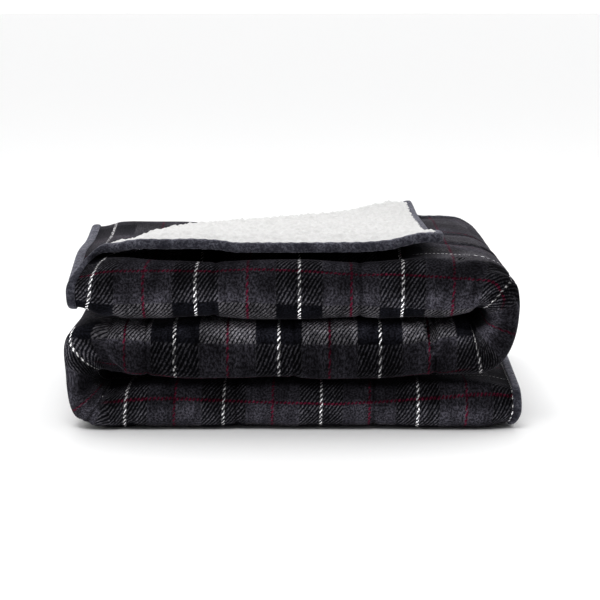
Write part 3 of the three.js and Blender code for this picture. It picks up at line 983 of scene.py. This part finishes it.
def broad_stripes(g, along, across, warp_shows):
    grey_s = stripe(g, along, PERIOD_S, RED_AT_S, GREY_WIDTH, GREY_SOFT)
    grey_t = stripe(g, across, PERIOD_T, RED_AT_T, GREY_WIDTH, GREY_SOFT)
    weft_shows = g.math("SUBTRACT", 1.0, warp_shows)
    middle_layer = g.times(g.smooth(along, *MIDDLE_STARTS), g.smooth(along, *MIDDLE_STOPS))
    # painted light on the middle layer, with a painted highlight near its top
    highlighted = g.smooth(across, *RIB_HIGHLIGHT_RAMP)
    rib_warp = g.blend(middle_layer, RIB_WARP, g.blend(highlighted, RIB_MIDDLE_LIT, RIB_MIDDLE_HIGHLIGHT))
    black_highlighted = g.times(middle_layer, g.smooth(across, *BLACK_HIGHLIGHT_RAMP))
    black = g.blend(black_highlighted, BLACK, BLACK_MIDDLE_HIGHLIGHT)
    colour = g.blend(g.times(grey_s, warp_shows), black, rib_warp)
    colour = g.blend(g.times(grey_t, weft_shows), colour, RIB_WEFT)
    return g.blend(g.times(grey_s, grey_t), colour, GREY)


print("broad stripes, m:", GREY_WIDTH)

# %% [markdown]
# ## White and red lines
# A thin line is only a few threads, so it shows as dashes where its own ribs come to the top. The
# crosswise white line starts where the turned corner leaves the cloth bare, and brushed pile hides the
# crosswise red one in both bends. A stripe with the period `ONCE` comes only once.

# %% Thin lines of the check
RED_HIDDEN_AT, HIDDEN_WIDTH_SOFT = (0.544, 1.062), (0.11, 0.012)
WHITE_STARTS = (0.37, 0.39)
ONCE = 4.0


def thin_lines(g, along, across, rib, colour):
    def line(shows, *numbers):
        return g.times(stripe(g, *numbers), g.smooth(rib, *shows))

    red_s = line((0.1, 0.6), along, PERIOD_S, RED_AT_S, LINE_RED, RED_SOFT)
    red_t = line((0.9, 0.4), across, PERIOD_T, RED_AT_T, LINE_RED, RED_SOFT)
    white_s = line((0.5, 0.76), along, PERIOD_S, WHITE_AT_S, LINE_WHITE, WHITE_SOFT)
    white_t = line((0.65, 0.4), across, PERIOD_T * WHITE_EVERY, WHITE_AT_T, LINE_WHITE / 2, WHITE_SOFT)
    white_t = g.times(white_t, g.smooth(along, *WHITE_STARTS))
    for middle in RED_HIDDEN_AT:
        hidden = stripe(g, along, ONCE, middle, *HIDDEN_WIDTH_SOFT)
        red_t = g.times(red_t, g.math("SUBTRACT", 1.0, hidden))
    for mask, paint in ((red_t, RED), (red_s, RED), (white_t, WHITE), (white_s, WHITE)):
        colour = g.blend(mask, colour, paint)
    return colour


print("white and red lines, m:", LINE_WHITE, LINE_RED)

# %% [markdown]
# ## Check group
# The group puts the stripes and the lines together, and also gives the ribs, for the material to raise.

# %% Check group
WARP_SHOWS = (0.22, 0.62)


def make_check_group():
    outputs = ("OUTPUT", "Color", "Color"), ("OUTPUT", "Float", "Ribs")
    g, given, end = new_group("woven check", ("INPUT", "Vector", "Place"), *outputs)
    along = g.node("SeparateXYZ", {0: given["Place"]})
    across = along.node.outputs[1]
    rib = g.group(twill_group, {"Along": along, "Across": across})
    warp_shows = g.smooth(rib, *WARP_SHOWS)
    ground = broad_stripes(g, along, across, warp_shows)
    g.connect(end, {"Color": thin_lines(g, along, across, rib, ground), "Ribs": warp_shows})
    return g.tree


check_group = make_check_group()

# %% [markdown]
# ## Light and dark of the plush
# Plush is dark where we look down into its pile and light where we see the sides of the fibres, a sheen
# painted into the colour. A bump over the flat cloth leans the pile one way, and Layer Weight compares it
# with the view. Brushed patches, streaks, painted shade along each seam and the fine tips are multiplied on
# top.

# %% Shade of the pile
PILE_LEAN, TIP_DARK, SIDE_LIGHT = 0.9, 0.58, 1.45
# painted shade along each quilting seam
SEAM_SHADE_WIDTH, SEAM_SHADE_SOFT, SEAM_SHADE_DARK = 0.003, 0.0016, 0.5


def pile_shade(g, flat, patches, grain):
    lengthwise = g.node("SeparateXYZ", {0: flat})
    slope = g.times(lengthwise.node.outputs[1], PILE_LEAN)
    leaning = g.node("Bump", {"Strength": 1.0, "Distance": 1.0, "Height": slope})
    facing = g.node("LayerWeight", {"Blend": 0.5, "Normal": leaning}, out=1)
    drawn_out = g.node("VectorMath", {0: flat, 1: (1.0, 0.3, 1.0)}, operation="MULTIPLY")
    streaks = g.node("TexNoise", {"Vector": drawn_out, "Scale": 75.0, "Detail": 3.0, "Roughness": 0.6})
    # painted shade in the valley of each seam
    seam_shade = stripe(g, lengthwise, SEAM_PITCH * MM, 0.0, SEAM_SHADE_WIDTH, SEAM_SHADE_SOFT)
    # painted sheen and shade, by the angle between the leaning pile and the view
    shade = g.scaled(g.smooth(facing, 0.08, 0.55), SIDE_LIGHT, TIP_DARK)
    shade = g.times(shade, g.scaled(patches, 0.9, 0.5))
    shade = g.times(shade, g.scaled(g.smooth(streaks, 0.35, 0.65), 0.6, 0.7))
    shade = g.times(shade, g.scaled(seam_shade, -SEAM_SHADE_DARK, 1.0))
    return g.times(shade, g.scaled(grain, 1.5, 0.35))


print("shade goes from", TIP_DARK, "at the tips to", TIP_DARK + SIDE_LIGHT, "at the sides")

# At grazing angles the colour is mixed towards a painted haze, the light that loose fibres catch.

# %% Plush material
FUZZ, HAZE = 0.0022, 0.6
HAZE_DARK, HAZE_LIGHT = (0.03, 0.028, 0.034, 1), (0.075, 0.068, 0.082, 1)


def blurred_place(g, flat):
    fuzz = g.node("TexNoise", {"Vector": flat, "Scale": 500.0, "Detail": 2.0}, out=1)
    offset = g.node("VectorMath", {0: fuzz, 1: (0.5, 0.5, 0.5)}, operation="SUBTRACT")
    offset = g.node("VectorMath", {0: offset, "Scale": FUZZ}, operation="SCALE")
    return g.node("VectorMath", {0: flat, 1: offset}, operation="ADD")


def make_plush():
    material, g, shader = new_material("checked plush")
    flat = g.node("UVMap", uv_map="flat_cloth")
    colour = g.group(check_group, {"Place": blurred_place(g, flat)})
    ribs = colour.node.outputs["Ribs"]
    patches, height = pile(g, flat, 22.0, 430.0)
    grain = g.smooth(height, 0.4, 0.64)
    shade = pile_shade(g, flat, patches, grain)
    colour = g.blend(1.0, colour, g.node("CombineColor", {0: shade, 1: shade, 2: shade}), mode="MULTIPLY")
    grazing = g.node("LayerWeight", {"Blend": 0.5}, out=1)
    # painted sheen: a haze mixed in at grazing angles
    haze = g.times(g.smooth(grazing, 0.74, 1.0), HAZE)
    relief = g.math("ADD", height, g.times(ribs, 0.4))
    g.connect(shader, {
        "Base Color": g.blend(haze, colour, g.blend(grain, HAZE_DARK, HAZE_LIGHT)),
        "Normal": g.node("Bump", {"Strength": 0.6, "Distance": 0.0008, "Height": relief}),
        "Roughness": 0.95, "Specular IOR Level": 0.02,
        "Sheen Weight": 0.04, "Sheen Roughness": 0.3, "Sheen Tint": (0.86, 0.84, 1.0, 1),
    })
    return material


plush_cloth.data.materials.append(make_plush())

# %% [markdown]
# ## The curly fleece
# The fleece is nearly white. The curls of the mesh do most, so the material adds faint patches and a bump.

# %% Fleece material
def make_fleece():
    material, g, shader = new_material("curly fleece")
    patches, height = pile(g, g.node("TexCoord", out=3), 180.0, 900.0)
    g.connect(shader, {
        "Base Color": g.blend(patches, (0.605, 0.601, 0.595, 1), (0.69, 0.686, 0.682, 1)),
        "Normal": g.node("Bump", {"Strength": 0.6, "Distance": 0.001, "Height": height}),
        "Roughness": 0.95, "Specular IOR Level": 0.1, "Sheen Weight": 0.0,
    })
    return material


fleece_cloth.data.materials.append(make_fleece())

# %% [markdown]
# ## The binding's plush
# The binding is a plain dark plush with a shorter pile. Its rounded edge catches the light, so its colour
# has a painted sheen that grows towards grazing angles, on top of the pile's patches.

# %% Binding material
def make_binding():
    material, g, shader = new_material("binding plush")
    patches, height = pile(g, g.node("TexCoord", out=3), 45.0, 380.0)
    facing = g.node("LayerWeight", {"Blend": 0.5}, out=1)
    # painted sheen: lighter towards grazing angles
    shade = g.math("ADD", g.times(g.smooth(facing, 0.2, 0.95), 0.5), g.times(patches, 0.46))
    grain = g.scaled(g.smooth(height, 0.42, 0.62), 0.9, 0.2)
    shade = g.times(g.math("ADD", shade, 0.03), grain)
    g.connect(shader, {
        "Base Color": g.blend(shade, (0.012, 0.012, 0.018, 1), (0.19, 0.19, 0.23, 1)),
        "Normal": g.node("Bump", {"Strength": 0.9, "Distance": 0.0012, "Height": height}),
        "Roughness": 0.9, "Specular IOR Level": 0.1,
        "Sheen Weight": 0.12, "Sheen Roughness": 0.4, "Sheen Tint": (0.86, 0.86, 1.0, 1),
    })
    return material


binding_strip.data.materials.append(make_binding())

# %% [markdown]
# ## Floor
# The blanket lies on a pale floor that runs so far back that no edge of it shows.

# %% Floor
bpy.ops.mesh.primitive_plane_add(size=80, location=(0, 30, 0))
floor = bpy.context.object
floor.name = "floor"
floor_material, g, shader = new_material("pale floor")
g.connect(shader, {"Base Color": (0.93, 0.93, 0.93, 1), "Roughness": 0.6})
floor.data.materials.append(floor_material)

# %% [markdown]
# ## Lights
# Two broad lamps are enough: a weak one overhead, and a strong one high at the front, which shapes each
# roll and leaves the gaps between the layers black.

# %% Lamps
def area_light(name, place_m, aim, size, power):
    light = bpy.data.lights.new(name, "AREA")
    light.shape = "RECTANGLE"
    light.size, light.size_y = size
    light.energy = power
    made = bpy.data.objects.new(name, light)
    made.location = place_m
    made.rotation_euler = (Vector(aim) - Vector(place_m)).to_track_quat("-Z", "Y").to_euler()
    bpy.context.scene.collection.objects.link(made)
    print(f"light {name}: {power} W")


area_light("overhead", (0, 0.3, 2.4), (0, 0.05, 0.1), (2.6, 2.0), 8)
area_light("front", (-0.4, -1.5, 2.9), (0, 0, 0.1), (1.6, 1.0), 47)

# %% [markdown]
# ## Surroundings
# A dark blanket on white needs a bright background with little light from the front, so the surroundings
# are white behind and above and dim in front, like a tent that is open in front.

# %% Studio surroundings
world = bpy.data.worlds.new("studio")
bpy.context.scene.world = world
world.use_nodes = True
g = Graph(world.node_tree)
direction = g.node("SeparateXYZ", {0: g.node("TexCoord")})
behind = g.smooth(direction.node.outputs[1], -0.5, 0.25)
sky = g.blend(behind, (0.14, 0.14, 0.145, 1), (1.5, 1.5, 1.5, 1))
g.connect(world.node_tree.nodes["Background"], {"Color": sky})
bpy.context.scene.view_settings.view_transform = "Standard"
print("surroundings:", world.name)

# %% [markdown]
# ## Camera
# The camera looks at the front from a little above and from far away, as in the photograph. Its lens is
# worked out from a focal length in pixels.

# %% Camera
CAMERA_AT, CAMERA_TILT = (0.0072, -2.027, 0.460), 9.88
CAMERA_FOCUS_PX, IMAGE_PX = 1713.0, 600
camera = bpy.data.objects.new("camera", bpy.data.cameras.new("camera"))
bpy.context.scene.collection.objects.link(camera)
camera.location = CAMERA_AT
camera.rotation_euler = (np.radians(90 - CAMERA_TILT), 0, 0)
camera.data.lens = camera.data.sensor_width * CAMERA_FOCUS_PX / IMAGE_PX
bpy.context.scene.camera = camera
print(f"lens {camera.data.lens:.0f} mm")

# %% [markdown]
# ## Say what each piece is
# Each sheet hides the solid that it replaces, and every piece rides on the one body,
# because a folded blanket has no joints.

for piece, node, slot in (
    (plush_cloth, "plush_face", "plush"),
    (fleece_cloth, "fleece_back", "fleece"),
    (binding_strip, "edge_binding", "binding"),
):
    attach(piece, "root")
    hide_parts(node)
    print(piece.name, "stands for", node)

# %% [markdown]
